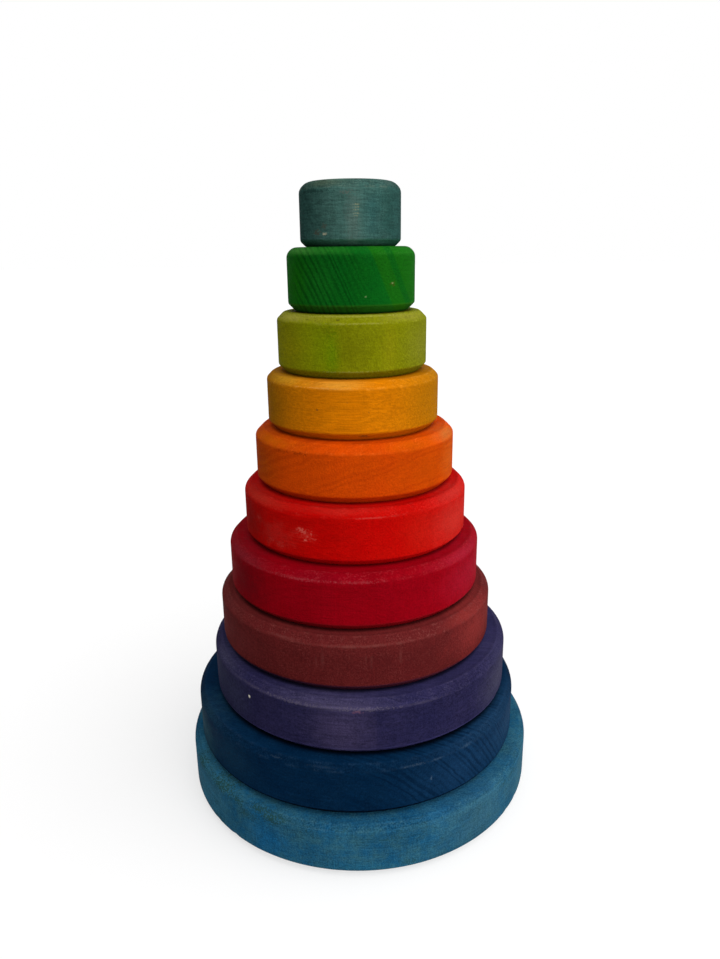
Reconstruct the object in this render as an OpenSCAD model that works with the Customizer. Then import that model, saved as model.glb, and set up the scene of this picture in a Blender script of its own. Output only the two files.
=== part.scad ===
// Conical stacking tower: ten bored wooden discs threaded on a loose dowel,
// which stands in a blind socket in the eleventh, the base disc.
// Millimetres, +Z up. The origin is the centre of the base disc's underside.

/* [Dowel] */
// Diameter of the dowel
rod_d = 15; // [12:0.5:16]
// Radius of the rounded ends of the dowel
rod_end_r = 2; // [1:0.25:3]
// How far the dowel's upper end lies below the top of the tower
rod_recess = 3; // [1:0.5:6]

/* [Fits] */
// Radial play of a loose disc on the dowel
disc_play = 1.6; // [0.5:0.1:2]
// Radial clearance of the dowel in the socket of the base
socket_play = 0.1; // [0.05:0.05:0.4]

/* [Edges] */
// Width and height of the chamfer round both rims of a disc
rim_chamfer = 2.6; // [1.5:0.1:4]
// Radius to which sanding has eased the corners of a chamfer
eased_r = 0.8; // [0.3:0.1:1.2]
// Chamfer at the mouths of a bore
mouth_chamfer = 1; // [0.5:0.25:1.5]

/* [Base disc] */
// Diameter of the base disc
base_d = 136.5; // [128:0.5:150]
// Thickness of the base disc
base_t = 20.5; // [18:0.5:26]
// Wood left under the socket for the dowel
socket_floor = 6; // [4:0.5:9]

/* [Navy disc] */
// Diameter of the navy disc
navy_d = 127; // [118:0.5:129]
// Thickness of the navy disc
navy_t = 20.5; // [16:0.5:26]
// Sideways rest of the navy disc, as a share of its play
navy_lean = -0.75; // [-0.9:0.05:0.9]

/* [Purple disc] */
// Diameter of the purple disc
purple_d = 115.5; // [108:0.5:118]
// Thickness of the purple disc
purple_t = 21; // [16:0.5:26]
// Sideways rest of the purple disc, as a share of its play
purple_lean = 0.35; // [-0.9:0.05:0.9]

/* [Maroon disc] */
// Diameter of the maroon disc
maroon_d = 105; // [98:0.5:108]
// Thickness of the maroon disc
maroon_t = 20.5; // [16:0.5:26]
// Sideways rest of the maroon disc, as a share of its play
maroon_lean = -0.6; // [-0.9:0.05:0.9]

/* [Crimson disc] */
// Diameter of the crimson disc
crimson_d = 95.5; // [88:0.5:98]
// Thickness of the crimson disc
crimson_t = 21; // [16:0.5:26]
// Sideways rest of the crimson disc, as a share of its play
crimson_lean = -0.75; // [-0.9:0.05:0.9]

/* [Red disc] */
// Diameter of the red disc
red_d = 83.5; // [77:0.5:88]
// Thickness of the red disc
red_t = 20.5; // [16:0.5:26]
// Sideways rest of the red disc, as a share of its play
red_lean = -0.35; // [-0.9:0.05:0.9]

/* [Orange disc] */
// Diameter of the orange disc
orange_d = 73.5; // [67:0.5:77]
// Thickness of the orange disc
orange_t = 20.5; // [16:0.5:26]
// Sideways rest of the orange disc, as a share of its play
orange_lean = -0.3; // [-0.9:0.05:0.9]

/* [Yellow disc] */
// Diameter of the yellow disc
yellow_d = 62.5; // [57:0.5:67]
// Thickness of the yellow disc
yellow_t = 20; // [16:0.5:26]
// Sideways rest of the yellow disc, as a share of its play
yellow_lean = -0.55; // [-0.9:0.05:0.9]

/* [Lime disc] */
// Diameter of the lime disc
lime_d = 53.5; // [49:0.5:57]
// Thickness of the lime disc
lime_t = 21; // [16:0.5:26]
// Sideways rest of the lime disc, as a share of its play
lime_lean = -0.55; // [-0.9:0.05:0.9]

/* [Green disc] */
// Diameter of the green disc
green_d = 45; // [40:0.5:49]
// Thickness of the green disc
green_t = 21.5; // [16:0.5:26]
// Sideways rest of the green disc, as a share of its play
green_lean = -0.55; // [-0.9:0.05:0.9]

/* [Teal disc] */
// Diameter of the teal disc, the topmost
teal_d = 35; // [33:0.5:40]
// Thickness of the teal disc
teal_t = 21; // [16:0.5:26]
// Sideways rest of the teal disc, as a share of its play
teal_lean = -0.55; // [-0.9:0.05:0.9]

/* [Hidden] */
$fn = 96;

// Heights of the discs' undersides, from the base up
navy_z = base_t;
purple_z = navy_z + navy_t;
maroon_z = purple_z + purple_t;
crimson_z = maroon_z + maroon_t;
red_z = crimson_z + crimson_t;
orange_z = red_z + red_t;
yellow_z = orange_z + orange_t;
lime_z = yellow_z + yellow_t;
green_z = lime_z + lime_t;
teal_z = green_z + green_t;
tower_h = teal_z + teal_t;

// Holes and dowel, from the fits
bore_d = rod_d + 2 * disc_play;
socket_d = rod_d + 2 * socket_play;
rod_len = tower_h - rod_recess - socket_floor;

// Steps in one eased corner, and how far a cut runs past a face
eased_steps = 4;
cut_past = 1;

// Unit vector along v
function unit(v) = v / norm(v);

// Arc of radius r that replaces the corner at the middle one of three outline points
function eased(before, corner, after, r) =
    let (
        u = unit(before - corner),
        v = unit(after - corner),
        half = acos(u * v) / 2,
        centre = corner + unit(u + v) * r / sin(half),
        from = corner + u * r / tan(half) - centre,
        to = corner + v * r / tan(half) - centre
    )
    [for (i = [0 : eased_steps]) centre + r * unit(from * (eased_steps - i) + to * i)];

// Half outline of a disc without its hole: a wall between two chamfers, with eased corners
function rim_outline(r, t) =
    let (
        foot = [r - rim_chamfer, 0],
        wall_low = [r, rim_chamfer],
        wall_high = [r, t - rim_chamfer],
        crown = [r - rim_chamfer, t]
    )
    concat(
        [[0, 0]],
        eased([0, 0], foot, wall_low, eased_r),
        eased(foot, wall_low, wall_high, eased_r),
        eased(wall_low, wall_high, crown, eased_r),
        eased(wall_high, crown, [0, t], eased_r),
        [[0, t]]
    );

// Turned disc of diameter d and thickness t, before it is drilled
module turned_blank(d, t) {
    rotate_extrude()
        polygon(rim_outline(d / 2, t));
}

// Chamfer cut at the mouth of a hole of diameter d, in a face that looks up
module mouth_cut(d) {
    cone_h = mouth_chamfer + cut_past;
    translate([0, 0, -mouth_chamfer])
        cylinder(h = cone_h, d1 = d, d2 = d + 2 * cone_h);
}

// Disc with a through bore, resting at height z and slid sideways by its share of the play
module loose_disc(d, t, z, lean) {
    translate([lean * disc_play, 0, z])
        difference() {
            turned_blank(d, t);
            translate([0, 0, -cut_past])
                cylinder(h = t + 2 * cut_past, d = bore_d);
            translate([0, 0, t])
                mouth_cut(bore_d);
            mirror([0, 0, 1])
                mouth_cut(bore_d);
        }
}

module base_disc() {
    color([0.13, 0.34, 0.44])
        difference() {
            turned_blank(base_d, base_t);
            translate([0, 0, socket_floor])
                cylinder(h = base_t - socket_floor + cut_past, d = socket_d);
            translate([0, 0, base_t])
                mouth_cut(socket_d);
        }
}

module navy_disc() {
    color([0.02, 0.12, 0.22])
        loose_disc(navy_d, navy_t, navy_z, navy_lean);
}

module purple_disc() {
    color([0.19, 0.17, 0.28])
        loose_disc(purple_d, purple_t, purple_z, purple_lean);
}

module maroon_disc() {
    color([0.33, 0.1, 0.1])
        loose_disc(maroon_d, maroon_t, maroon_z, maroon_lean);
}

module crimson_disc() {
    color([0.52, 0.01, 0.06])
        loose_disc(crimson_d, crimson_t, crimson_z, crimson_lean);
}

module red_disc() {
    color([0.67, 0.02, 0.01])
        loose_disc(red_d, red_t, red_z, red_lean);
}

module orange_disc() {
    color([0.74, 0.25, 0.01])
        loose_disc(orange_d, orange_t, orange_z, orange_lean);
}

module yellow_disc() {
    color([0.79, 0.45, 0.02])
        loose_disc(yellow_d, yellow_t, yellow_z, yellow_lean);
}

module lime_disc() {
    color([0.43, 0.45, 0.03])
        loose_disc(lime_d, lime_t, lime_z, lime_lean);
}

module green_disc() {
    color([0.03, 0.32, 0.07])
        loose_disc(green_d, green_t, green_z, green_lean);
}

module teal_disc() {
    color([0.27, 0.39, 0.36])
        loose_disc(teal_d, teal_t, teal_z, teal_lean);
}

module dowel() {
    r = rod_d / 2;
    outline = concat(
        [[0, 0]],
        eased([0, 0], [r, 0], [r, rod_len], rod_end_r),
        eased([r, 0], [r, rod_len], [0, rod_len], rod_end_r),
        [[0, rod_len]]
    );
    color([0.8, 0.65, 0.45])
        translate([0, 0, socket_floor])
            rotate_extrude()
                polygon(outline);
}

base_disc();
navy_disc();
purple_disc();
maroon_disc();
crimson_disc();
red_disc();
orange_disc();
yellow_disc();
lime_disc();
green_disc();
teal_disc();
dowel();
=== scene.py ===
"""Looks of a conical stacking tower: stained wooden discs threaded on a loose dowel.

Each disc and the dowel is a turned mesh, in metres in the row frame, that replaces its CAD node.
Its wood is a solid pattern, so growth rings, fibres and end grain run through every face.
"""

import math
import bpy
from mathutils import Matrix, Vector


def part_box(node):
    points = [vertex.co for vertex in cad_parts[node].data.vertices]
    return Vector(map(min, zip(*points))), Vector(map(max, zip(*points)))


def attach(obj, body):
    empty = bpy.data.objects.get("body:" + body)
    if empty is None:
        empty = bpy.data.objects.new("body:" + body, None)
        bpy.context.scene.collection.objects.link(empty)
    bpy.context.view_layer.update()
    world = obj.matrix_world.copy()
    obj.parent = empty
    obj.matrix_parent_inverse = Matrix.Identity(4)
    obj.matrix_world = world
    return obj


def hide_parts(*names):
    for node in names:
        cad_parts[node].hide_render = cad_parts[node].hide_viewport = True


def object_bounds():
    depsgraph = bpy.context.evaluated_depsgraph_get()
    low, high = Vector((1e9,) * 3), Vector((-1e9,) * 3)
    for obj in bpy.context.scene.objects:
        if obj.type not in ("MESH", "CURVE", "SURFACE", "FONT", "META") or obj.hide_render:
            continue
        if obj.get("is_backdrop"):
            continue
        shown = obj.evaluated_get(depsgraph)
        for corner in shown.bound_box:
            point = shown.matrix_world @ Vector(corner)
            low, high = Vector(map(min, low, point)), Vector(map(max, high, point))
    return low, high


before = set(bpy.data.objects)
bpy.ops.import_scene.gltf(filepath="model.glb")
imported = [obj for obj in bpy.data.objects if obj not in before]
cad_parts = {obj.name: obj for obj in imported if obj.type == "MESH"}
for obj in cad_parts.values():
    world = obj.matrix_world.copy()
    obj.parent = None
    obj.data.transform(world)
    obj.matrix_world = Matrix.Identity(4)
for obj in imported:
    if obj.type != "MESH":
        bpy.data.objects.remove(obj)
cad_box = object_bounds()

from types import SimpleNamespace

import bpy
import numpy as np
from mathutils import Matrix, Vector

MM = 0.001

# Turned sizes that the frame's boxes don't give, in millimetres
RIM_CHAMFER = 2.6
MOUTH_CHAMFER = 1.0
BORE_R = 9.1
SOCKET_R = 7.6
SOCKET_FLOOR = 6.0
MOUTH_EASE = 0.25
DOWEL_END_R = 2.0

# Wear pressed into the meshes: along the edges, in waves round the disc, and in a few knocks
EDGE_WEAR = 0.05
EDGE_WEAR_WIDTH = 0.7
WEAR_WAVES = 14
WAVE_COUNTS = (2, 40)
KNOCKS = 10
KNOCK_SIZE = (0.5, 1.2)
KNOCK_DEPTH = (0.05, 0.2)

# Scuffs round the back of a disc: how many, where, their half sizes and their strength
BACK_SCUFFS = 7
SCUFF_AT = (85, 275)
SCUFF_UP = (4, 19)
SCUFF_WIDE = (1, 5)
SCUFF_TALL = (0.3, 0.8)
SCUFF_STRENGTH = (0.1, 0.3)

# Spacing of the mesh's rows, in millimetres, and of its segments around
FINE_ROW = 0.8
FLAT_ROW = 3.0
SEGMENT = 1.0
LEAST_SEGMENTS = 144
ARC_STEPS = 5

# Radius inside which a closed face is a fan of triangles, in millimetres
BASE_FAN_R = 3.0
DOWEL_FAN_R = 1.0

# Photograph's camera, worked out from the rims' ellipses: image height and focal length in pixels,
# place in millimetres, turns in degrees and near clip in metres
IMAGE_H = 959
FOCAL_PX = 736.2
SENSOR_MM = 36.0
CAMERA_AT = (1.40, -269.6, 205.0)
CAMERA_PITCH = 17.13
CAMERA_ROLL = -0.69
CLIP_START = 0.01

# Light: a sky, dim at the horizon, with a broad bright side at the right front, and a soft sun at the
# right. Angles are in degrees
SKY_LEVEL = 0.133
SKY_ABOVE = 0.58
KEY_LEVEL = 2.9
KEY_TURN = 43.0
KEY_RISE = 15.0
SUN_LEVEL = 0.7
SUN_TURN = 105.0
SUN_RISE = 20.0
SUN_WIDTH = 70.0

# Floor: its colour, the share of plain white over it, the little that it sends back up, and how far it
# reaches, in metres
FLOOR_SEEN = 0.97
FLOOR_WHITE = 0.6
FLOOR_BOUNCE = 0.2
FLOOR_REACH = 12.0

# Stained wood: its gloss, the bare wood where it thins out, the depth of its bump and its clouds' shift
STAIN_ROUGHNESS = 0.7
STAIN_SPECULAR = 0.01
BARE_WOOD = (190, 158, 118)
BUMP_DEPTH = 0.3
CLOUD_SHIFT = (37, 11, 5)

# How softly chamfers, ledges, bores, seams and bands of stain end, in millimetres, and rings, in degrees
RIM_BLEND = (-0.7, -0.1)
LEDGE_BLEND = (-0.5, -0.1)
LEDGE_FADE = 2.4
BARE_BLEND = (2.2, 0.4)
SEAM_BLEND = 0.6
STAIN_BLEND = 0.4
RING_BLEND = 12

# Half width and half height past which a patch frays in coarse flakes
BROAD_WIDE = 5
BROAD_TALL = 2

# Dowel's wood: its colours, and the pitch and pith of its rings
DOWEL_PALE = (205, 172, 130)
DOWEL_RING = (176, 136, 94)
DOWEL_PORE = (140, 100, 66)
DOWEL_RING_PITCH = 1.6
DOWEL_PITH = (14, 5)


def srgb(red, green, blue):
    """Linear colour of an 8-bit sRGB triple, with alpha."""

    def linear(value):
        share = value / 255
        return share / 12.92 if share <= 0.04045 else ((share + 0.055) / 1.055) ** 2.4

    return (linear(red), linear(green), linear(blue), 1.0)


def way_to(turn, rise):
    """Unit vector turned from the front to the right and raised, in degrees."""
    turn, rise = math.radians(turn), math.radians(rise)
    return Vector((math.cos(rise) * math.sin(turn), -math.cos(rise) * math.cos(turn), math.sin(rise)))


# Turned meshes


def arc_corner(before, corner, after, radius):
    """Points of the arc that rounds the middle one of three outline points."""
    before, corner, after = (np.array(p, float) for p in (before, corner, after))
    u = (before - corner) / np.linalg.norm(before - corner)
    v = (after - corner) / np.linalg.norm(after - corner)
    half = math.acos(float(u @ v)) / 2
    middle = corner + (u + v) / np.linalg.norm(u + v) * radius / math.sin(half)
    start = corner + u * radius / math.tan(half) - middle
    end = corner + v * radius / math.tan(half) - middle
    points = []
    for i in range(ARC_STEPS + 1):
        way = start * (ARC_STEPS - i) + end * i
        points.append(middle + way / np.linalg.norm(way) * radius)
    return points


def outline(corners, closed):
    """Half outline through corners of (r, z, rounding radius, row spacing to the next corner)."""
    count = len(corners)
    rounded = []
    for i, (r, z, ease, spacing) in enumerate(corners):
        ends = not closed and i in (0, count - 1)
        if ease and not ends:
            before = corners[i - 1][:2]
            after = corners[(i + 1) % count][:2]
            points = arc_corner(before, (r, z), after, ease)
        else:
            points = [np.array((r, z), float)]
        rounded.append((points, spacing))
    rows = []
    for i, (points, spacing) in enumerate(rounded):
        rows += points
        if closed or i < count - 1:
            a, b = points[-1], rounded[(i + 1) % count][0][0]
            steps = max(1, math.ceil(np.linalg.norm(b - a) / spacing))
            rows += [a + (b - a) * k / steps for k in range(1, steps)]
    return np.array(rows)


def row_normals(rows, closed):
    """Outward normals of an outline that runs outwards underneath and back over the top."""
    before = np.roll(rows, 1, axis=0)
    after = np.roll(rows, -1, axis=0)
    if not closed:
        before[0], after[-1] = rows[0], rows[-1]
    along = after - before
    normals = np.stack([along[:, 1], -along[:, 0]], axis=1)
    return normals / np.linalg.norm(normals, axis=1, keepdims=True)


def turned_mesh(name, rows, centre, closed, dents):
    """Mesh of an outline turned about the vertical through centre, with its dents pressed in."""
    segments = max(LEAST_SEGMENTS, int(2 * math.pi * rows[:, 0].max() / SEGMENT))
    normals = row_normals(rows, closed)
    angle = np.linspace(0, 2 * math.pi, segments, endpoint=False)
    side, front = np.sin(angle), -np.cos(angle)
    r, z, around = np.broadcast_arrays(rows[:, :1], rows[:, 1:], angle)
    depth = dents(r, z, around)
    r = r - depth * normals[:, :1]
    z = z - depth * normals[:, 1:]
    places = np.stack([r * side, r * front, z], axis=2).reshape(-1, 3)
    count = len(rows)
    index = np.arange(count * segments).reshape(count, segments)
    onward = np.roll(index, -1, axis=1)
    if closed:
        above = np.roll(index, -1, axis=0)
        above_onward = np.roll(onward, -1, axis=0)
        faces = np.stack([index, onward, above_onward, above], axis=2).reshape(-1, 4).tolist()
    else:
        quads = np.stack([index[:-1], onward[:-1], onward[1:], index[1:]], axis=2)
        low, high = len(places), len(places) + 1
        places = np.vstack([places, [0, 0, rows[0, 1]], [0, 0, rows[-1, 1]]])
        faces = quads.reshape(-1, 4).tolist()
        faces += [(low, int(b), int(a)) for a, b in zip(index[0], onward[0])]
        faces += [(high, int(a), int(b)) for a, b in zip(index[-1], onward[-1])]
    mesh = bpy.data.meshes.new(name)
    mesh.from_pydata(((places + np.array(centre)) * MM).tolist(), [], faces)
    mesh.polygons.foreach_set("use_smooth", [True] * len(mesh.polygons))
    mesh.update()
    mesh.validate()
    return mesh


def dent_field(disc, seed):
    """Function of (r, z, angle) that gives how deep the wear and knocks go, in millimetres."""
    rng = np.random.default_rng(seed)
    waves = [
        (int(rng.integers(*WAVE_COUNTS)), rng.uniform(0, 2 * math.pi)) for _ in range(WEAR_WAVES)
    ]
    knocks = []
    for _ in range(KNOCKS):
        edge = rng.choice([disc.low, disc.t - disc.top])
        at = rng.uniform(-math.pi, math.pi)
        knocks.append((at, edge, rng.uniform(*KNOCK_SIZE), rng.uniform(*KNOCK_DEPTH)))

    def depth(r, z, angle):
        nearest = np.minimum.reduce([np.hypot(r - edge_r, z - edge_z) for edge_r, edge_z in disc.edges])
        edge = np.exp(-((nearest / EDGE_WEAR_WIDTH) ** 2))
        uneven = sum(np.sin(k * angle + p) for k, p in waves) / len(waves)
        total = EDGE_WEAR * edge * (0.5 + uneven)
        for at, height_at, size, deep in knocks:
            turn = np.angle(np.exp(1j * (angle - at)))
            away = np.hypot(turn * disc.r, z - height_at)
            near_rim = r > disc.r - 2 * RIM_CHAMFER
            total = total + np.where(near_rim, deep * np.exp(-((away / size) ** 2)), 0)
        return np.maximum(total, 0)

    return depth


def no_dents(r, z, angle):
    """Depth of the dents in a smooth piece: none anywhere."""
    return np.zeros_like(angle)


# Node trees


class Nodes:
    """Short calls that build one node tree. A value may be a number, a tuple or a socket."""

    def __init__(self, tree):
        self.tree = tree
        self.tree.nodes.clear()

    def put(self, socket, value):
        if isinstance(value, bpy.types.NodeSocket):
            self.tree.links.new(value, socket)
        else:
            socket.default_value = value

    def add(self, kind, inputs, **settings):
        node = self.tree.nodes.new(kind)
        for key, value in settings.items():
            setattr(node, key, value)
        for key, value in inputs.items():
            self.put(node.inputs[key], value)
        return node

    def math(self, operation, *values):
        inputs = dict(enumerate(values))
        return self.add("ShaderNodeMath", inputs, operation=operation).outputs[0]

    def vector(self, operation, *values):
        node = self.add("ShaderNodeVectorMath", dict(enumerate(values)), operation=operation)
        return node.outputs["Value" if operation in ("LENGTH", "DOT_PRODUCT", "DISTANCE") else "Vector"]

    def scaled(self, vector, factor):
        node = self.add("ShaderNodeVectorMath", {"Vector": vector, "Scale": factor}, operation="SCALE")
        return node.outputs["Vector"]

    def joined(self, x, y, z):
        return self.add("ShaderNodeCombineXYZ", {"X": x, "Y": y, "Z": z}).outputs[0]

    def split(self, vector):
        return self.add("ShaderNodeSeparateXYZ", {"Vector": vector}).outputs

    def noise(self, vector, stretch, detail=2.0, rough=0.5):
        """Noise whose cells measure about one over stretch, in millimetres."""
        inputs = {
            "Vector": self.vector("MULTIPLY", vector, stretch),
            "Scale": 1.0,
            "Detail": detail,
            "Roughness": rough,
        }
        return self.add("ShaderNodeTexNoise", inputs).outputs[0]

    def crisp(self, vector, stretch, detail=2.0, rough=0.5):
        """Noise with most of its range used, so that its cells have clear edges."""
        return self.ease(self.noise(vector, stretch, detail, rough), 0.3, 0.7)

    def noise_along(self, value, detail=2.0):
        inputs = {"W": value, "Scale": 1.0, "Detail": detail}
        return self.add("ShaderNodeTexNoise", inputs, noise_dimensions="1D").outputs[0]

    def ease(self, value, low, high, to_low=0.0, to_high=1.0):
        """Smooth step of value from low to high."""
        inputs = {"Value": value, "From Min": low, "From Max": high, "To Min": to_low, "To Max": to_high}
        node = self.add("ShaderNodeMapRange", inputs, interpolation_type="SMOOTHSTEP")
        return node.outputs[0]

    def mix(self, share, a, b):
        """Blend of two colours. Their sockets come after those for numbers and for vectors."""
        inputs = {0: share, 6: a, 7: b}
        return self.add("ShaderNodeMix", inputs, data_type="RGBA").outputs[2]

    def sum(self, *values):
        total = values[0]
        for value in values[1:]:
            total = self.math("ADD", total, value)
        return total

    def times(self, *values):
        total = values[0]
        for value in values[1:]:
            total = self.math("MULTIPLY", total, value)
        return total

    def swing(self, value, strength):
        """A pattern of mean one half as a change about nought."""
        return self.math("MULTIPLY", self.math("SUBTRACT", value, 0.5), 2 * strength)

    def shade(self, colour, roughness, height, relief, specular):
        """Principled surface with bump."""
        bumps = {"Strength": relief, "Distance": BUMP_DEPTH * MM, "Height": height}
        bump = self.add("ShaderNodeBump", bumps)
        inputs = {
            "Base Color": colour,
            "Roughness": roughness,
            "Specular IOR Level": specular,
            "Normal": bump.outputs[0],
        }
        surface = self.add("ShaderNodeBsdfPrincipled", inputs)
        self.add("ShaderNodeOutputMaterial", {"Surface": surface.outputs[0]})


def new_material(name):
    material = bpy.data.materials.new(name)
    material.use_nodes = True
    return material, Nodes(material.node_tree)


def surface_point(disc, turn, height):
    """Point of a disc's rim, in millimetres from the centre of its underside, turned from the front."""
    inward = max(0.0, disc.low - height, disc.top - (disc.t - height))
    way = way_to(turn, 0) * (disc.r - inward)
    return (way.x, way.y, height)


def wood_patterns(n, disc):
    """Places on a disc, in millimetres, and the patterns of its wood, its turning and its stain."""
    look = disc.look
    place = n.add("ShaderNodeTexCoord", {}).outputs["Object"]
    local = n.vector("MULTIPLY_ADD", place, (1 / MM,) * 3, tuple(-c for c in disc.centre))
    flat = n.vector("MULTIPLY", local, (1, 1, 0))
    around = n.vector("NORMALIZE", flat)
    height = n.split(local)["Z"]
    shifted = n.vector("ADD", local, look.board)

    # Lathe lines run far round the disc and lie close together up its side
    turned = n.vector("ADD", n.scaled(around, 3.0), n.joined(0, 0, n.times(height, 1.6)))

    # Grain's axes: X along it, Y across it, Z up
    turn = {"Vector": local, "Angle": math.radians(90 - look.grain)}
    grain = n.add("ShaderNodeVectorRotate", turn, rotation_type="Z_AXIS").outputs[0]
    grain = n.vector("ADD", grain, look.board)
    return SimpleNamespace(
        local=local,
        flat=flat,
        around=around,
        radius=n.vector("LENGTH", flat),
        height=height,
        grain=grain,
        fibres=n.crisp(grain, (0.05, 1.4, 1.4), 3, 0.6),
        flecks=n.noise(grain, (0.2, 2.0, 2.0), 2, 0.5),
        streaks=n.crisp(shifted, (1.5, 1.5, 0.1), 3, 0.6),
        lathe=n.crisp(n.vector("ADD", turned, look.board), (1,) * 3, 3, 0.7),
        fine=n.crisp(shifted, (1.9,) * 3, 2, 0.6),
        coarse=n.noise(shifted, (0.3,) * 3, 3, 0.6),
        mottle=n.crisp(shifted, (look.mottle_size,) * 3, 4, look.mottle_rough),
        cloud=n.crisp(n.vector("ADD", shifted, CLOUD_SHIFT), (0.05,) * 3, 3, 0.6),
    )


def growth_rings(n, look, wood):
    """How deep in the board each place lies, and the dark bands of the rings about a far pith."""
    across = n.vector("DOT_PRODUCT", wood.local, way_to(look.ring_grain + 90, 0))
    lean = math.radians(look.ring_lean)
    normal = n.sum(n.times(across, math.cos(lean)), n.times(wood.height, math.sin(lean)))
    tangent = n.sum(n.times(across, -math.sin(lean)), n.times(wood.height, math.cos(lean)))
    pith = n.joined(n.math("ADD", normal, look.pith), tangent, 0)
    depth = n.math("SUBTRACT", n.vector("LENGTH", pith), look.pith)
    depth = n.sum(depth, n.swing(n.noise(wood.grain, (0.02, 0.12, 0.12), 2), look.ring_wander))

    # Rings at uneven distances, each with its own strength
    ring = n.math("DIVIDE", depth, look.ring_pitch)
    ring = n.sum(ring, n.swing(n.noise_along(n.times(ring, 0.4)), look.ring_jitter))
    bands = n.ease(n.math("SINE", n.times(ring, 2 * math.pi)), -look.ring_soft, 0.9)
    each = n.noise_along(n.sum(n.times(ring, 0.31), 40))
    bands = n.times(bands, n.ease(each, 0.35, 0.6, look.ring_even, 1))

    # Only the side where they show
    way = n.vector("DOT_PRODUCT", wood.around, way_to(look.ring_at, 0))
    ends = (look.ring_half + RING_BLEND, look.ring_half - RING_BLEND)
    outer, inner = (math.cos(math.radians(min(180, end))) for end in ends)
    bands = n.times(bands, n.ease(way, outer, inner), n.ease(wood.coarse, 0.25, 0.55, 0.5, 1))
    return depth, bands


def rim_shares(n, disc, wood):
    """Shares of the upper chamfer, the lower chamfer, the ledge on top and the ledge's inner part."""
    upper = n.ease(n.sum(wood.radius, wood.height, disc.top - disc.r - disc.t), *RIM_BLEND)
    lower = n.ease(n.sum(wood.radius, disc.low - disc.r, n.times(wood.height, -1)), *RIM_BLEND)
    ledge = n.ease(wood.height, *(disc.t + at for at in LEDGE_BLEND))
    crown_r = disc.edges[3][0]
    inner_ledge = n.times(ledge, n.ease(wood.radius, crown_r, crown_r - LEDGE_FADE))
    return SimpleNamespace(upper=upper, lower=lower, ledge=ledge, inner_ledge=inner_ledge)


def painted(n, disc, wood, colour, spot):
    """Colour under a patch: soft or crisp, ragged, and cut off at its seam if it has one."""
    offset = n.vector("SUBTRACT", wood.local, surface_point(disc, spot.at, spot.up))
    reach = n.vector("LENGTH", n.vector("DIVIDE", offset, (spot.wide, spot.wide, spot.tall)))
    broad = spot.wide > BROAD_WIDE and spot.tall > BROAD_TALL
    reach = n.sum(reach, n.swing(wood.coarse if broad else wood.fine, spot.ragged))
    mask = n.ease(reach, 1.0, spot.core)
    if spot.seam:
        turn, side = spot.seam
        past = n.vector("SUBTRACT", wood.local, surface_point(disc, turn, spot.up))
        past = n.vector("DOT_PRODUCT", past, way_to(turn + 90 * side, 0))
        mask = n.times(mask, n.ease(past, -SEAM_BLEND, SEAM_BLEND))
    return n.mix(n.times(mask, spot.strength), colour, srgb(*spot.colour))


def stain_colour(n, disc, wood, depth):
    """Colour of the stain: blotches, zones (a few painted sheen and shade), wide bands that follow the
    rings, and darker grain ends.
    """
    look = disc.look
    colour = n.mix(wood.mottle, srgb(*look.body), srgb(*look.tint))
    for spot in look.zones:
        colour = painted(n, disc, wood, colour, spot)
    for low, high, stain, strength in look.ring_stains:
        share = n.times(
            n.ease(depth, low - STAIN_BLEND, low + STAIN_BLEND),
            n.ease(depth, high + STAIN_BLEND, high - STAIN_BLEND),
        )
        front = n.ease(n.vector("DOT_PRODUCT", wood.around, (0, -1, 0)), 0.0, 0.3)
        colour = n.mix(n.times(share, front, strength), colour, srgb(*stain))
    end = n.vector("DOT_PRODUCT", wood.around, way_to(look.grain, 0))
    end = n.math("POWER", n.math("ABSOLUTE", end), 2.0)
    return n.mix(n.times(end, look.end_share), colour, srgb(*look.ends))


def toned(n, look, wood, rims, colour):
    """Colour with painted light and shade on the lower chamfers and ledge, toned at the upper chamfers
    and by the fine patterns.
    """
    # Painted light and shade on the lower chamfers, lighter towards the right
    low_tone = n.math("MULTIPLY_ADD", n.split(wood.around)["X"], look.low_swing, look.low_tone - 1.0)
    tone = n.sum(
        1.0,
        n.times(rims.upper, look.rim_tone - 1.0),
        n.times(rims.lower, low_tone),
        # Painted light and shade on the ledge and on its inner part
        n.times(rims.ledge, look.ledge_tone - 1.0),
        n.times(rims.inner_ledge, look.ledge_rise),
        n.swing(wood.cloud, look.cloud),
        n.swing(wood.fibres, look.fibre),
        n.swing(wood.lathe, look.lathe),
        n.swing(wood.streaks, look.streak),
        n.swing(wood.fine, look.speckle),
    )
    return n.scaled(colour, n.math("MAXIMUM", tone, 0.1))


def worn_share(n, disc, wood):
    """Share of stain worn thin, in patches along the upper edges."""
    section = n.joined(wood.radius, wood.height, 0)
    shoulder, crown = (n.vector("DISTANCE", section, edge + (0,)) for edge in disc.edges[2:])
    edge = n.math("MINIMUM", shoulder, crown)
    patchy = n.times(n.ease(wood.coarse, 0.42, 0.66), n.sum(0.4, n.times(wood.fine, 0.6)))
    return n.times(n.ease(edge, 0.8, 0.1), patchy, disc.look.wear)


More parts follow.
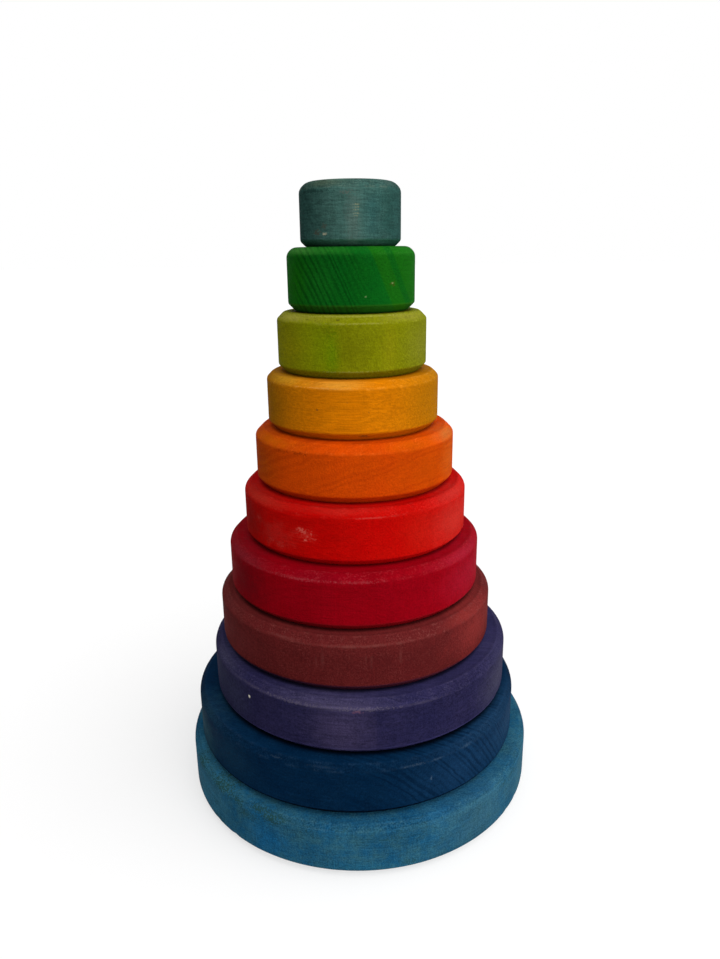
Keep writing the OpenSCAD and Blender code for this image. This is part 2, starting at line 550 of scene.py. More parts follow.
def soiled(n, disc, wood, rims, colour):
    """Colour under a chalky film, painted bounce light from the disc below, grime and painted shade at
    the foot, and painted crease shade.
    """
    look = disc.look
    chalk = n.times(n.ease(wood.fine, 0.5, 1.0), n.ease(wood.coarse, 0.35, 0.65))
    chalk = n.times(chalk, n.sum(n.times(rims.upper, look.chalk_rim), look.chalk))
    colour = n.mix(chalk, colour, srgb(*look.worn))
    # Painted bounce light: the lower chamfer takes on the colour of the disc below
    colour = n.mix(n.times(rims.lower, look.rub), colour, srgb(*disc.below))
    # Darker towards the foot: grime and painted contact shade
    colour = n.scaled(colour, n.ease(wood.height, 0.1, 1.2, 1.0 - look.grime, 1.0))

    # Painted shade in the crease round the foot of the disc above
    if disc.foot_above:
        shift, foot = disc.foot_above
        away = n.math("SUBTRACT", n.vector("DISTANCE", wood.flat, shift), foot)
        crease = n.times(n.ease(away, look.crease_width, 0.4), n.ease(away, -1.5, 0.0), rims.ledge)
        colour = n.scaled(colour, n.math("MULTIPLY_ADD", crease, -look.crease, 1.0))
    return colour


def stained_wood(disc):
    """Matte stain on pale wood, with the grain, wear and marks of one disc."""
    look = disc.look
    material, n = new_material(disc.node + "_stain")
    wood = wood_patterns(n, disc)
    rims = rim_shares(n, disc, wood)

    # Stain, with the rings and pores that show through it, and painted light and shade at the lower
    # chamfers and ledge
    depth, bands = growth_rings(n, look, wood)
    bands = n.times(bands, n.math("MULTIPLY_ADD", rims.upper, -0.4, 1.0))
    pores = n.ease(wood.flecks, 0.58, 0.7)
    colour = toned(n, look, wood, rims, stain_colour(n, disc, wood, depth))
    colour = n.mix(n.times(bands, look.ring_depth), colour, srgb(*look.deep))
    colour = n.mix(n.times(pores, look.pores), colour, srgb(*look.deep))

    # Wear, dirt, painted bounce light and shade, and marks of play at their own places, a few of them
    # painted highlights
    worn = worn_share(n, disc, wood)
    colour = n.mix(worn, colour, srgb(*look.worn))
    colour = soiled(n, disc, wood, rims, colour)
    for spot in look.marks + old_scuffs(look.worn, disc.number):
        colour = painted(n, disc, wood, colour, spot)

    # The stain thins out inside the bore
    thin = n.ease(wood.radius, *(BORE_R + past for past in BARE_BLEND))
    bare = n.times(thin, n.ease(wood.coarse, 0.25, 0.6, 0.35, 0.8))
    colour = n.mix(n.times(bare, 0.6), colour, srgb(*BARE_WOOD))

    roughness = n.sum(
        STAIN_ROUGHNESS,
        n.swing(wood.mottle, 0.04),
        n.swing(wood.fine, 0.04),
        n.times(worn, 0.1),
    )
    relief = n.sum(
        n.times(wood.fibres, 0.4),
        n.times(wood.lathe, 2 * look.lathe),
        n.times(wood.fine, 0.3),
        n.times(wood.flecks, -0.4),
        n.times(bands, -0.3 * look.ring_depth),
    )
    n.shade(colour, roughness, relief, 0.4, STAIN_SPECULAR)
    return material


def natural_wood():
    """Bare sanded dowel: straight grain, with rings on its ends."""
    material, n = new_material("dowel_wood")
    place = n.add("ShaderNodeTexCoord", {}).outputs["Object"]
    local = n.scaled(place, 1 / MM)
    x, y, _ = n.split(local)
    pith = n.joined(n.math("ADD", x, DOWEL_PITH[0]), n.math("ADD", y, DOWEL_PITH[1]), 0)
    ring = n.math("DIVIDE", n.vector("LENGTH", pith), DOWEL_RING_PITCH)
    ring = n.math("ADD", ring, n.swing(n.noise(local, (0.15, 0.15, 0.01)), 0.8))
    bands = n.ease(n.noise_along(ring, 3), 0.38, 0.64)
    fibres = n.noise(local, (1.6, 1.6, 0.03), 4, 0.6)
    pores = n.ease(n.noise(local, (2.4, 2.4, 0.12)), 0.6, 0.72)
    colour = n.mix(n.times(bands, 0.5), srgb(*DOWEL_PALE), srgb(*DOWEL_RING))
    colour = n.scaled(colour, n.sum(1.0, n.swing(fibres, 0.22)))
    colour = n.mix(n.times(pores, 0.35), colour, srgb(*DOWEL_PORE))
    roughness = n.sum(0.58, n.swing(fibres, 0.08))
    n.shade(colour, roughness, n.sum(fibres, n.times(pores, -0.5)), 0.3, 0.3)
    return material


# How each disc looks, from the base up. Angles turn from the front to the right, in degrees,
# and heights are in millimetres above the disc's underside


def patch(colour, at, up, wide, tall, strength, ragged=0.5, core=0.4, seam=None):
    """Patch of colour on a rim: its place, half sizes, and the seam that ends it, as angle and side."""
    return SimpleNamespace(**locals())


def zone(colour, at, up, wide, tall, strength, seam=None):
    """Wide soft patch of stain; a few of them are painted sheen and a few painted shade."""
    return patch(colour, at, up, wide, tall, strength, 0.3, 0.0, seam)


def old_scuffs(colour, seed):
    """Faint scuffs round the back of a disc, which the photograph doesn't show."""
    rng = np.random.default_rng(seed)
    scuffs = []
    for _ in range(BACK_SCUFFS):
        ranges = (SCUFF_AT, SCUFF_UP, SCUFF_WIDE, SCUFF_TALL, SCUFF_STRENGTH)
        at, up, wide, tall, strength = (rng.uniform(*span) for span in ranges)
        scuffs.append(patch(colour, at, up, wide, tall, strength, 0.8))
    return tuple(scuffs)


def disc_look(body, tint, deep, worn, grain, **more):
    """A disc's looks: sRGB colours, the way its grain ends face, and the strength of each pattern."""
    plain = {
        "board": (0, 0, 0),
        "ring_lean": 30,
        "ring_grain": grain,
        "ring_pitch": 1.8,
        "ring_depth": 0.1,
        "ring_wander": 0.8,
        "ring_jitter": 1.0,
        "ring_soft": 0.3,
        "ring_even": 0.25,
        "ring_at": 0,
        "ring_half": 180,
        "ring_stains": (),
        "pith": 250,
        "fibre": 0.06,
        "lathe": 0.03,
        "streak": 0.02,
        "speckle": 0.06,
        "cloud": 0.06,
        "mottle_size": 0.12,
        "mottle_rough": 0.6,
        "ends": body,
        "end_share": 0.0,
        "rim_tone": 1.0,
        # Painted light and shade on the lower chamfers, lighter towards the right, and on the ledge
        "low_tone": 1.0,
        "low_swing": 0.1,
        "ledge_tone": 1.0,
        "ledge_rise": 0.0,
        # Painted shade in the crease round the foot of the disc above
        "crease": 0.3,
        "crease_width": 2.4,
        # Painted bounce light from the disc below
        "rub": 0.3,
        # Grime and painted contact shade at the foot
        "grime": 0.4,
        "pores": 0.2,
        "wear": 0.2,
        "chalk": 0.02,
        "chalk_rim": 0.1,
        "top_chamfer": RIM_CHAMFER,
        "low_chamfer": RIM_CHAMFER,
        "crown": 1.8,
        "shoulder": 1.5,
        "foot": 0.9,
        "zones": (),
        "marks": (),
    }
    colours = {"body": body, "tint": tint, "deep": deep, "worn": worn, "grain": grain}
    return SimpleNamespace(**{**plain, **colours, **more})


BASE_SPOT = (34, 66, 60)
NAVY_SCUFF = (84, 108, 130)
PURPLE_SCUFF = (104, 96, 114)
MAROON_SCUFF = (140, 86, 80)
CRIMSON_SCUFF = (190, 88, 96)
RED_CHALK = (214, 110, 98)
ORANGE_SMEAR = (112, 38, 2)
YELLOW_SPECK = (96, 62, 28)
YELLOW_PALE = (232, 180, 96)
LIME_SPECK = (66, 58, 12)
LIME_PALE = (184, 178, 90)
TEAL_DASH = (150, 150, 112)
TEAL_SMUDGE = (72, 66, 54)

LOOKS = {
    "base_disc": disc_look(
        (45, 92, 110), (22, 79, 114), (26, 62, 66), (80, 122, 128), -80,
        board=(13, 5, 2), mottle_size=0.16, mottle_rough=0.8, cloud=0.14, streak=0.08, lathe=0.1,
        speckle=0.22, pores=0.4, crease=0.1, low_swing=0.0, rim_tone=0.81, top_chamfer=1.6,
        low_chamfer=2.8, shoulder=2.8, crown=2.4, grime=0.0,
        zones=(
            zone((20, 84, 126), -28, 10, 15, 11, 0.8),
            zone((46, 82, 98), 40, 10, 30, 24, 0.75),
            zone((58, 100, 116), 66, 10, 18, 18, 0.6),
            zone((56, 114, 140), -62, 10, 30, 18, 0.85),
            zone((30, 88, 114), 0, 4, 22, 4, 0.5),
            zone((14, 74, 118), 26, 20.3, 56, 1.5, 0.4),
            zone((56, 100, 118), 30, 17.6, 36, 2.4, 0.3),
        ),
        marks=(
            patch(BASE_SPOT, -48, 19.2, 6.5, 1.8, 0.85, 1.0),
            patch(BASE_SPOT, -40, 18.4, 2.2, 1.2, 0.65, 0.9),
            patch(BASE_SPOT, -32, 19.4, 2.8, 1.0, 0.65, 0.9),
            patch(BASE_SPOT, -27, 18.4, 3.2, 1.8, 0.75, 1.0),
            patch(BASE_SPOT, -23, 19.3, 1.8, 0.9, 0.45, 0.9),
            patch(BASE_SPOT, -36, 15.8, 4.6, 1.8, 0.45, 1.0),
            patch(BASE_SPOT, -62, 18.6, 5.5, 1.7, 0.75, 1.0),
            patch(BASE_SPOT, -52, 9.5, 2.4, 1.2, 0.3, 0.9),
            patch(BASE_SPOT, -50, 4.0, 3.6, 1.2, 0.4, 1.0),
            patch(BASE_SPOT, -15, 16.6, 2.0, 0.9, 0.25, 0.9),
            patch(BASE_SPOT, 14, 4.5, 3.0, 1.0, 0.3, 1.0),
            patch(BASE_SPOT, 51, 17.2, 2.4, 1.0, 0.35, 0.9),
            patch(BASE_SPOT, 58, 16.8, 3.0, 1.2, 0.3, 0.9),
        ),
    ),
    "navy_disc": disc_look(
        (2, 29, 55), (5, 34, 60), (1, 19, 41), (80, 104, 126), 70,
        board=(-40, 9, 4), pith=1500, ring_lean=34, ring_grain=66, ring_pitch=1.9, ring_depth=0.55,
        ring_soft=0.5, ring_even=0.4, ring_at=33, ring_half=33, streak=0.04, speckle=0.16, fibre=0.1,
        pores=0.3, top_chamfer=2.0, rim_tone=0.85, low_tone=0.15, rub=0.0, wear=0.06, chalk_rim=0.03,
        low_swing=0.0, ledge_tone=1.2, crease=0.85, crease_width=3.6,
        zones=(
            # Painted sheen at the wall's left edge
            zone((34, 70, 84), -70, 9, 24, 14, 0.9),
            zone((18, 50, 74), -46, 11, 18, 14, 0.7),
            zone((20, 51, 82), 40, 11, 40, 18, 0.75),
            # Painted sheen at the grazing edges of the wall and the chamfer
            zone((26, 57, 86), 66, 11, 26, 16, 0.8),
            zone((24, 53, 81), 56, 19.6, 36, 3, 0.7),
            zone((36, 66, 84), -62, 19.4, 20, 2.4, 0.45),
            # Painted shade on the chamfer's left
            zone((1, 22, 44), -20, 19.6, 18, 2.2, 0.5),
        ),
        marks=(
            patch(NAVY_SCUFF, -26, 19.5, 1.8, 0.28, 0.12, 0.9),
            patch(NAVY_SCUFF, -10, 19.4, 4.0, 0.28, 0.08, 1.0),
            patch(NAVY_SCUFF, 18, 18.5, 4.0, 0.3, 0.16, 1.0),
            patch(NAVY_SCUFF, 26, 18.4, 2.4, 0.3, 0.16, 0.9),
            patch(NAVY_SCUFF, 38, 18.6, 2.4, 0.4, 0.16, 0.9),
            patch(NAVY_SCUFF, 24, 11.6, 0.5, 0.9, 0.35, 0.5),
        ),
    ),
    "purple_disc": disc_look(
        (33, 31, 61), (38, 35, 65), (18, 17, 42), (104, 96, 114), 82,
        board=(5, -20, 7), streak=0.06, lathe=0.1, speckle=0.19, fibre=0.16, mottle_size=0.2,
        rim_tone=1.1, low_tone=2.1, low_swing=0.25, ledge_tone=1.15, ledge_rise=0.3, crown=1.0,
        crease=0.7, crease_width=2.2, rub=0.1, chalk_rim=0.1, wear=0.1,
        zones=(
            zone((58, 51, 80), -6, 10, 18, 16, 0.95, seam=(5.5, -1)),
            zone((30, 29, 60), 24, 10, 16, 14, 0.7),
            zone((46, 48, 71), -52, 10, 14, 14, 0.6),
            zone((44, 47, 70), -68, 10, 18, 14, 0.7),
            zone((58, 56, 77), 66, 10, 26, 14, 0.9),
            zone((59, 54, 81), -12, 19.8, 30, 2.4, 0.75),
            zone((74, 68, 92), -9, 18.4, 26, 1.5, 0.45, seam=(16, -1)),
            zone((32, 29, 56), 39, 19.8, 20, 2.4, 0.85),
            zone((66, 64, 86), -64, 19.8, 18, 2.4, 0.5),
        ),
        marks=(
            patch((228, 224, 206), -43, 13.8, 0.62, 0.8, 1.0, 0.1),
            patch(PURPLE_SCUFF, -24, 18.5, 12.0, 0.5, 0.25, 0.9),
            patch(PURPLE_SCUFF, 1, 18.3, 9.0, 0.6, 0.3, 0.9),
            patch(PURPLE_SCUFF, 20, 18.1, 9.0, 0.4, 0.12, 0.9),
            patch(PURPLE_SCUFF, -44, 18.7, 9.0, 0.35, 0.15, 0.9),
            patch((112, 74, 92), -1, 17.4, 1.8, 0.6, 0.45, 0.6),
        ),
    ),
    "maroon_disc": disc_look(
        (81, 23, 24), (85, 26, 26), (54, 13, 15), (138, 84, 78), 20,
        board=(9, 31, 1), streak=0.05, speckle=0.14, fibre=0.08, chalk=0.08, chalk_rim=0.12,
        rim_tone=1.12, low_tone=0.6, low_swing=0.5, ledge_tone=1.12, ledge_rise=0.45, crown=1.0,
        crease=0.6, crease_width=2.6, wear=0.12,
        zones=(
            zone((120, 40, 38), 58, 12, 27, 14, 0.9),
            zone((116, 38, 34), 48, 19.2, 14, 2, 0.5),
            zone((96, 36, 37), -56, 10, 26, 14, 0.6),
            zone((95, 30, 30), -4, 16.5, 56, 4.0, 0.6),
            # Painted shade: near black on the lower chamfer's left
            zone((4, 0, 2), -36, 1.2, 40, 3, 0.95),
            zone((98, 44, 44), -66, 19.2, 16, 2.2, 0.4),
        ),
        marks=(
            patch(MAROON_SCUFF, -12, 12.5, 0.7, 3.4, 0.09, 0.5),
            patch(MAROON_SCUFF, -14.5, 11.6, 0.5, 2.4, 0.08, 0.5),
            patch(MAROON_SCUFF, 17, 13.2, 0.6, 3.0, 0.1, 0.5),
            patch(MAROON_SCUFF, 6, 12.0, 0.6, 2.8, 0.08, 0.5),
            patch(MAROON_SCUFF, 4, 13.4, 0.4, 2.0, 0.08, 0.5),
            patch(MAROON_SCUFF, -28, 18.4, 5.0, 0.35, 0.16, 0.9),
            patch(MAROON_SCUFF, 2, 17.9, 16.0, 0.4, 0.16, 0.9),
        ),
    ),
    "crimson_disc": disc_look(
        (130, 1, 13), (133, 2, 16), (98, 1, 8), (184, 70, 80), 78,
        board=(22, 3, 5), streak=0.05, speckle=0.07, fibre=0.06, chalk=0.01, chalk_rim=0.16, wear=0.06,
        top_chamfer=2.5, rim_tone=0.94, low_tone=1.1, low_swing=0.6, ledge_tone=0.92, ledge_rise=0.18,
        crown=1.0, shoulder=2.2, crease=0.4,
        zones=(
            # Painted sheen on the right of the wall
            zone((152, 22, 42), 62, 10, 28, 14, 0.65),
            zone((98, 7, 16), -58, 10, 25, 14, 0.8),
            # Painted sheen on the chamfer's left
            zone((122, 34, 44), -60, 19.4, 24, 2.4, 0.6),
            zone((124, 3, 20), -14, 19.4, 24, 2.4, 0.6),
            # Painted sheen on the chamfer's right
            zone((146, 28, 46), 58, 19.4, 28, 2.4, 0.65),
        ),
        marks=(
            patch(CRIMSON_SCUFF, -22, 18.4, 9.0, 0.5, 0.2, 1.0, 0.1),
            patch(CRIMSON_SCUFF, -46, 18.4, 9.0, 0.4, 0.08, 1.0, 0.1),
            patch(CRIMSON_SCUFF, 3, 18.4, 8.0, 0.45, 0.16, 1.0, 0.1),
        ),
    ),
    "red_disc": disc_look(
        (172, 3, 2), (175, 8, 4), (138, 2, 2), (208, 84, 74), 62,
        board=(-6, 17, 3), streak=0.03, speckle=0.07, fibre=0.07, lathe=0.05, chalk=0.01, chalk_rim=0.1,
        wear=0.08, low_tone=1.1, low_swing=0.36, ledge_tone=0.83, ledge_rise=0.24, crown=1.0,
        shoulder=2.6, crease=0.35, crease_width=2.6,
        zones=(
            # Painted sheen on the right of the wall
            zone((178, 42, 34), 60, 10, 28, 14, 0.85),
            zone((178, 20, 10), 32, 10, 12, 14, 0.7),
            zone((126, 12, 8), -64, 10, 18, 14, 0.8),
            zone((176, 34, 26), -8, 19.6, 24, 1.6, 0.5),
            # Painted sheen at the chamfer's left and right edges
            zone((170, 44, 32), -58, 19.2, 24, 2.4, 0.7),
            zone((162, 40, 34), 62, 19.2, 22, 2.4, 0.75),
        ),
        marks=(
            patch((190, 50, 42), -23.5, 11, 3.8, 2.6, 0.55, 0.7, 0.0),
            patch(RED_CHALK, -26.0, 12.5, 1.8, 1.1, 0.42, 0.5, 0.0),
            patch(RED_CHALK, -24.4, 11.8, 1.2, 0.8, 0.3, 0.5, 0.0),
            patch(RED_CHALK, -23.7, 9.0, 0.9, 0.8, 0.5, 0.3, 0.0),
            patch(RED_CHALK, -22.4, 10.3, 0.9, 0.6, 0.25, 0.5, 0.0),
            patch(RED_CHALK, -20.5, 11.4, 0.7, 1.0, 0.28, 0.5, 0.0),
            patch(RED_CHALK, -19.2, 9.7, 1.1, 0.6, 0.22, 0.5, 0.0),
            patch(RED_CHALK, -42, 9, 15, 7, 0.05, 1.2, 0.0),
            patch(RED_CHALK, -55, 12.4, 1.6, 1.0, 0.12, 0.7, 0.0),
            patch(RED_CHALK, -44, 6.0, 1.6, 1.0, 0.1, 0.7, 0.0),
            patch(RED_CHALK, -38, 5.5, 2.2, 1.2, 0.1, 0.7, 0.0),
            patch(RED_CHALK, 9, 17.7, 8.0, 0.35, 0.16, 0.5, 0.1),
        ),
    ),
    "orange_disc": disc_look(
        (188, 62, 2), (191, 66, 2), (140, 38, 1), (226, 112, 40), -20,
        board=(3, 8, 12), pith=1500, ring_lean=-68, ring_grain=-36, ring_pitch=3.0, ring_depth=0.26,
        ring_soft=0.7, ring_wander=2.2, speckle=0.07, fibre=0.06, chalk_rim=0.16, rim_tone=1.06,
        low_tone=0.88, low_swing=0.15, ledge_tone=0.94, ledge_rise=0.12, crown=1.0, crease=0.35,
        top_chamfer=2.8, wear=0.12,
        zones=(
            zone((166, 70, 4), -64, 10, 20, 14, 0.8),
            zone((172, 64, 2), 48, 10, 24, 16, 0.8),
            zone((206, 72, 3), -34, 10, 17, 14, 0.6),
            zone((184, 84, 18), 68, 10, 11, 14, 0.7),
            zone((182, 90, 4), -58, 19.0, 26, 2.8, 0.65),
            zone((176, 76, 1), 34, 19.0, 16, 2.8, 0.6),
            zone((168, 92, 38), 70, 19.0, 16, 2.8, 0.9),
        ),
        marks=(
            patch(ORANGE_SMEAR, -30, 17.0, 2.4, 0.7, 0.4, 0.8),
            patch(ORANGE_SMEAR, -42, 16.6, 3.2, 0.6, 0.25, 0.8),
            patch(ORANGE_SMEAR, -10, 16.9, 2.4, 0.4, 0.12, 0.8),
        ),
    ),
    "yellow_disc": disc_look(
        (199, 113, 2), (196, 109, 1), (146, 78, 2), (228, 164, 70), 88,
        board=(17, 2, 8), cloud=0.03, fibre=0.13, lathe=0.05, speckle=0.05, ends=(146, 96, 4),
        end_share=0.9, pith=1500, ring_lean=84, ring_pitch=2.0, ring_depth=0.14, ring_wander=2.0,
        rim_tone=1.03, low_tone=0.86, top_chamfer=2.2, crown=2.0, shoulder=1.3, wear=0.15,
        zones=(
            zone((206, 148, 52), -9, 19.0, 14, 2.2, 0.6),
            zone((232, 172, 46), -60, 19.2, 20, 2.2, 0.95),
            zone((120, 92, 8), -66, 10, 14, 14, 0.6),
            zone((150, 90, 2), 50, 10, 12, 14, 0.35),
        ),
        marks=(
            patch(YELLOW_SPECK, -22, 10.7, 0.5, 0.5, 0.7, 0.2),
            patch(YELLOW_SPECK, 10, 10.0, 0.4, 0.4, 0.45, 0.2),
            patch(YELLOW_SPECK, 7, 1.8, 1.9, 0.6, 0.6, 0.5),
            patch(YELLOW_SPECK, -3, 13.4, 0.5, 0.4, 0.3, 0.3),
            # Painted highlight along the shoulder
            patch(YELLOW_PALE, -18, 17.95, 12.0, 0.25, 0.2, 0.7),
        ),
    ),
    "lime_disc": disc_look(
        (110, 114, 4), (113, 117, 6), (80, 78, 4), (170, 166, 76), 5,
        board=(2, 27, 6), fibre=0.11, lathe=0.06, speckle=0.1, pores=0.3, rim_tone=1.04, low_tone=0.88,
        low_swing=0.0, crease=0.65, crease_width=3.2, rub=0.05, chalk_rim=0.12, crown=2.0, shoulder=1.4,
        wear=0.15,
        zones=(
            zone((124, 140, 6), -32, 10, 12, 14, 0.85),
            zone((104, 126, 3), -22, 10, 6, 14, 0.4),
            zone((92, 130, 2), -14, 8, 3.8, 13, 0.6),
            zone((130, 126, 10), 28, 10, 5, 13, 0.5),
            zone((132, 128, 8), -56, 10, 20, 14, 0.9),
            zone((112, 114, 28), 64, 10, 15, 14, 0.8),
            zone((148, 144, 56), -56, 19.8, 18, 1.8, 0.9),
            zone((132, 130, 26), -24, 19.8, 10, 1.8, 0.7),
            zone((126, 123, 40), 50, 19.8, 18, 1.8, 0.75),
        ),
        marks=(
            patch((90, 90, 4), 3, 10, 8, 8, 0.4, 1.4, 0.0),
            patch(LIME_SPECK, -10, 19.5, 0.8, 0.5, 0.6, 0.5),
            patch(LIME_SPECK, -35, 19.5, 0.7, 0.3, 0.4, 0.5),
            patch(LIME_SPECK, -27, 19.3, 0.5, 0.3, 0.3, 0.5),
            patch(LIME_SPECK, -15, 19.9, 0.5, 0.3, 0.3, 0.5),
            patch(LIME_SPECK, 3, 19.7, 0.5, 0.3, 0.3, 0.5),
            # Painted highlights along the shoulder and along the crown
            patch(LIME_PALE, 5, 18.4, 9.0, 0.3, 0.2, 0.6),
            patch(LIME_PALE, 4, 20.6, 18.0, 0.35, 0.25, 0.8),
            patch(LIME_PALE, 0, 2.7, 8.0, 0.35, 0.2, 1.0),
        ),
    ),
    "green_disc": disc_look(
        (6, 80, 19), (8, 83, 18), (2, 46, 8), (70, 132, 56), -28,
        board=(11, 7, 3), pith=1500, ring_lean=24, ring_grain=6, ring_pitch=1.65, ring_depth=0.6,
        ring_soft=0.4, ring_even=0.6, ring_jitter=0.9, ring_wander=0.5, ring_at=-24, ring_half=30,
        speckle=0.14, fibre=0.05, rim_tone=1.16, low_tone=1.1, rub=0.08, top_chamfer=2.2, crown=3.2,
        shoulder=3.0, wear=0.15, grime=0.55,
        ring_stains=((12.0, 60, (18, 86, 12), 0.95), (16.6, 18.8, (6, 78, 16), 0.75)),
        zones=(
            zone((20, 96, 10), -56, 10, 17, 16, 0.9),
            zone((16, 92, 24), -28, 9, 10, 14, 0.8),
            zone((56, 114, 46), -52, 20.4, 14, 2.0, 0.85),
            zone((30, 100, 28), -20, 20.4, 12, 2.0, 0.75),
            zone((6, 80, 22), 30, 20.4, 7, 2.0, 0.7),
            zone((50, 112, 40), 66, 20.4, 8, 2.0, 0.6),
        ),
        marks=(
            patch((70, 66, 22), 38.5, 9.5, 1.2, 0.9, 0.4, 0.5),
            patch((140, 146, 96), 38, 9.8, 0.55, 0.5, 0.55, 0.3),
            patch((130, 156, 104), 12.5, 5.7, 0.45, 0.4, 0.5, 0.3),
        ),
    ),
    "teal_disc": disc_look(
        (58, 93, 86), (63, 96, 90), (14, 42, 40), (132, 138, 118), 90,
        board=(8, 4, 14), lathe=0.2, fibre=0.08, streak=0.1, speckle=0.1, mottle_size=0.25, pith=1500,
        ring_lean=34, ring_grain=-68, ring_pitch=3.0, ring_depth=0.3, ring_soft=0.6, ring_at=-58,
        ring_half=26, ends=(30, 64, 60), end_share=1.0, rim_tone=0.84, low_tone=1.0, top_chamfer=2.5,
        low_chamfer=1.9, crown=3.8, shoulder=3.1, foot=1.5,
        zones=(
            zone((80, 104, 97), 3, 8, 3.8, 14, 0.85),
            zone((44, 86, 84), 26, 10, 5.5, 12, 0.75),
            zone((86, 104, 84), -38, 19.9, 14, 2.2, 0.9),
            zone((32, 68, 62), 48, 10, 6, 14, 0.7),
            zone((112, 138, 130), 64, 20.1, 9, 2.2, 0.8),
            zone((46, 74, 68), 4, 20.1, 12, 1.8, 0.5),
        ),
        marks=(
            patch((94, 96, 88), -4, 16.6, 2.0, 0.7, 0.4, 0.6),
            patch(TEAL_DASH, 7, 12.9, 1.1, 0.28, 0.4, 0.5),
            patch(TEAL_DASH, 7.5, 12.1, 1.2, 0.25, 0.35, 0.5),
            patch(TEAL_DASH, 7, 11.2, 1.0, 0.25, 0.3, 0.5),
            patch(TEAL_DASH, 7, 10.2, 1.1, 0.25, 0.35, 0.5),
            patch(TEAL_DASH, 8, 9.4, 1.2, 0.25, 0.35, 0.5),
            patch(TEAL_SMUDGE, -38, 4.4, 1.7, 1.1, 0.6, 0.7),
            patch(TEAL_SMUDGE, -29, 6.4, 1.1, 1.0, 0.45, 0.7),
            patch((162, 158, 134), -28.5, 4.0, 0.9, 0.55, 0.75, 0.4),
            patch((20, 44, 40), -45, 17.3, 8.0, 0.7, 0.5, 0.5),
        ),
    ),
}


# Pieces


def box_of(node):
    """Centre of a node's underside, its radius and its height, in millimetres, from its CAD box."""
    low, high = (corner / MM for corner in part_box(node))
    centre = Vector(((low.x + high.x) / 2, (low.y + high.y) / 2, low.z))
    return centre, min(high.x - low.x, high.y - low.y) / 2, high.z - low.z


def disc_of(number, node):
    """Sizes of a disc, the colour of the disc below, and the foot of the disc above."""
    centre, r, t = box_of(node)
    look = LOOKS[node]
    foot, crown = r - look.low_chamfer, r - look.top_chamfer
    nodes = list(LOOKS)
    foot_above = None
    if number + 1 < len(nodes):
        middle, radius, _ = box_of(nodes[number + 1])
        shift = (middle.x - centre.x, middle.y - centre.y, 0)
        foot_above = (shift, radius - LOOKS[nodes[number + 1]].low_chamfer)
    return SimpleNamespace(
        number=number,
        node=node,
        look=look,
        r=r,
        t=t,
        centre=tuple(centre),
        top=look.top_chamfer,
        low=look.low_chamfer,
        edges=((foot, 0), (r, look.low_chamfer), (r, t - look.top_chamfer), (crown, t)),
        below=LOOKS[nodes[max(0, number - 1)]].body,
        foot_above=foot_above,
    )


def disc_rows(disc):
    """Outline of a disc, its rounding included, and whether it is closed round a through bore."""
    t, look = disc.t, disc.look
    radii = (look.foot, look.foot, look.shoulder, look.crown)
    spacings = (FINE_ROW, FINE_ROW, FINE_ROW, FLAT_ROW)
    rim = [edge + (radius, spacing) for edge, radius, spacing in zip(disc.edges, radii, spacings)]
    if disc.node == "base_disc":
        hole = [
            (SOCKET_R + MOUTH_CHAMFER, t, MOUTH_EASE, FINE_ROW),
            (SOCKET_R, t - MOUTH_CHAMFER, MOUTH_EASE, FLAT_ROW),
            (SOCKET_R, SOCKET_FLOOR, MOUTH_EASE, FLAT_ROW),
            (BASE_FAN_R, SOCKET_FLOOR, 0, FLAT_ROW),
        ]
        return outline([(BASE_FAN_R, 0, 0, FLAT_ROW)] + rim + hole, False), False
    hole = [
        (BORE_R + MOUTH_CHAMFER, t, MOUTH_EASE, FINE_ROW),
        (BORE_R, t - MOUTH_CHAMFER, MOUTH_EASE, FLAT_ROW),
        (BORE_R, MOUTH_CHAMFER, MOUTH_EASE, FINE_ROW),
        (BORE_R + MOUTH_CHAMFER, 0, MOUTH_EASE, FLAT_ROW),
    ]
    return outline(rim + hole, True), True


def add_piece(name, mesh, material, node, slot):
    """Piece that replaces a CAD node and rides on the body of the same name."""
    mesh.materials.append(material)
    piece = bpy.data.objects.new(name, mesh)
    bpy.context.scene.collection.objects.link(piece)
    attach(piece, node)
    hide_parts(node)


def make_disc(number, node):
    disc = disc_of(number, node)
    rows, closed = disc_rows(disc)
    mesh = turned_mesh(node + "_turned", rows, disc.centre, closed, dent_field(disc, number))
    add_piece(node + "_turned", mesh, stained_wood(disc), node, node.replace("_disc", "_stain"))


def make_dowel():
    centre, r, length = box_of("dowel")
    corners = [
        (DOWEL_FAN_R, 0, 0, FLAT_ROW),
        (r, 0, DOWEL_END_R, FLAT_ROW),
        (r, length, DOWEL_END_R, FLAT_ROW),
        (DOWEL_FAN_R, length, 0, FLAT_ROW),
    ]
    mesh = turned_mesh("dowel_turned", outline(corners, False), centre, False, no_dents)
    add_piece("dowel_turned", mesh, natural_wood(), "dowel", "natural_wood")


# Stage


def path_share(n):
    """One for rays that show the background, nought for those that light the object."""
    path = n.add("ShaderNodeLightPath", {}).outputs
    shown = n.math("MAXIMUM", path["Is Camera Ray"], path["Is Glossy Ray"])
    return n.math("MAXIMUM", shown, path["Is Transmission Ray"])


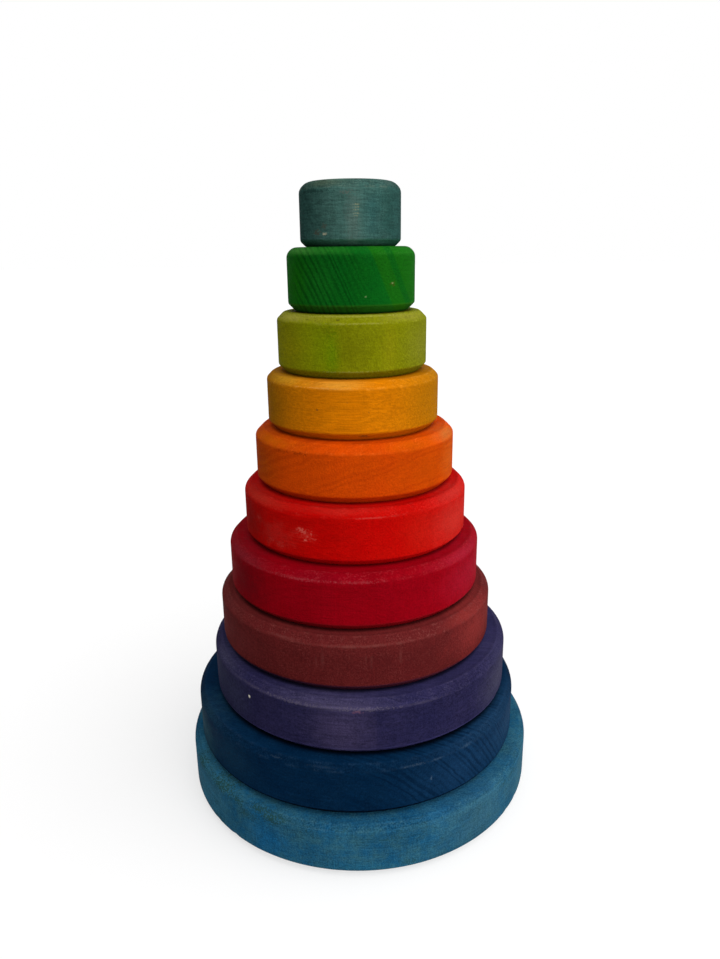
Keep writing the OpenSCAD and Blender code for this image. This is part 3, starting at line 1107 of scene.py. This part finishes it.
def make_floor():
    """Floor that looks white but for the tower's faint shadow, and sends little light back up."""
    material, n = new_material("pale_floor")
    lit = n.add("ShaderNodeBsdfDiffuse", {"Color": (FLOOR_SEEN,) * 3 + (1,)})
    white = n.add("ShaderNodeEmission", {"Color": (1, 1, 1, 1), "Strength": 1.0})
    seen = n.add("ShaderNodeMixShader", {0: FLOOR_WHITE, 1: lit.outputs[0], 2: white.outputs[0]})
    dim = n.add("ShaderNodeBsdfDiffuse", {"Color": (FLOOR_BOUNCE,) * 3 + (1,)})
    both = n.add("ShaderNodeMixShader", {0: path_share(n), 1: dim.outputs[0], 2: seen.outputs[0]})
    n.add("ShaderNodeOutputMaterial", {"Surface": both.outputs[0]})
    reach = FLOOR_REACH
    mesh = bpy.data.meshes.new("floor")
    corners = [(-reach, -reach, 0), (reach, -reach, 0), (reach, reach, 0), (-reach, reach, 0)]
    mesh.from_pydata(corners, [], [(0, 1, 2, 3)])
    mesh.materials.append(material)
    floor = bpy.data.objects.new("floor", mesh)
    bpy.context.scene.collection.objects.link(floor)
    floor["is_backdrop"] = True


def make_world():
    """White to the camera. To the object it is a dim sky with a broad bright side."""
    world = bpy.data.worlds.new("studio")
    world.use_nodes = True
    n = Nodes(world.node_tree)
    way = n.add("ShaderNodeTexCoord", {}).outputs["Generated"]
    key = n.math("MAXIMUM", n.vector("DOT_PRODUCT", way, way_to(KEY_TURN, KEY_RISE)), 0.0)
    above = n.math("MAXIMUM", n.split(way)["Z"], 0.0)
    level = n.sum(SKY_LEVEL, n.times(above, SKY_ABOVE), n.times(key, key, KEY_LEVEL))
    shown = path_share(n)
    level = n.sum(n.times(level, n.math("SUBTRACT", 1.0, shown)), shown)
    sky = n.add("ShaderNodeBackground", {"Color": (1, 1, 1, 1), "Strength": level})
    n.add("ShaderNodeOutputWorld", {"Surface": sky.outputs[0]})
    bpy.context.scene.world = world


def make_sun():
    sun = bpy.data.lights.new("soft_sun", "SUN")
    sun.energy = SUN_LEVEL
    sun.angle = math.radians(SUN_WIDTH)
    lamp = bpy.data.objects.new("soft_sun", sun)
    lamp.rotation_mode = "QUATERNION"
    lamp.rotation_quaternion = way_to(SUN_TURN, SUN_RISE).to_track_quat("Z", "Y")
    bpy.context.scene.collection.objects.link(lamp)


def make_camera():
    """Camera at the photograph's place: pitched down, and rolled a little."""
    pitch, roll = math.radians(CAMERA_PITCH), math.radians(CAMERA_ROLL)
    right = Vector((1, 0, 0))
    up = Vector((0, math.sin(pitch), math.cos(pitch)))
    ahead = Vector((0, math.cos(pitch), -math.sin(pitch)))
    across = right * math.cos(roll) + up * math.sin(roll)
    upright = up * math.cos(roll) - right * math.sin(roll)
    data = bpy.data.cameras.new("camera")
    data.sensor_width = SENSOR_MM
    data.lens = FOCAL_PX * SENSOR_MM / IMAGE_H
    data.clip_start = CLIP_START
    camera = bpy.data.objects.new("camera", data)
    axes = Matrix((across, upright, -ahead)).transposed().to_4x4()
    camera.matrix_world = Matrix.Translation(Vector(CAMERA_AT) * MM) @ axes
    bpy.context.scene.collection.objects.link(camera)
    bpy.context.scene.camera = camera


make_camera()
for number, node in enumerate(LOOKS):
    make_disc(number, node)
make_dowel()
make_floor()
make_world()
make_sun()
bpy.context.scene.view_settings.view_transform = "Standard"

visual_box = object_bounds()
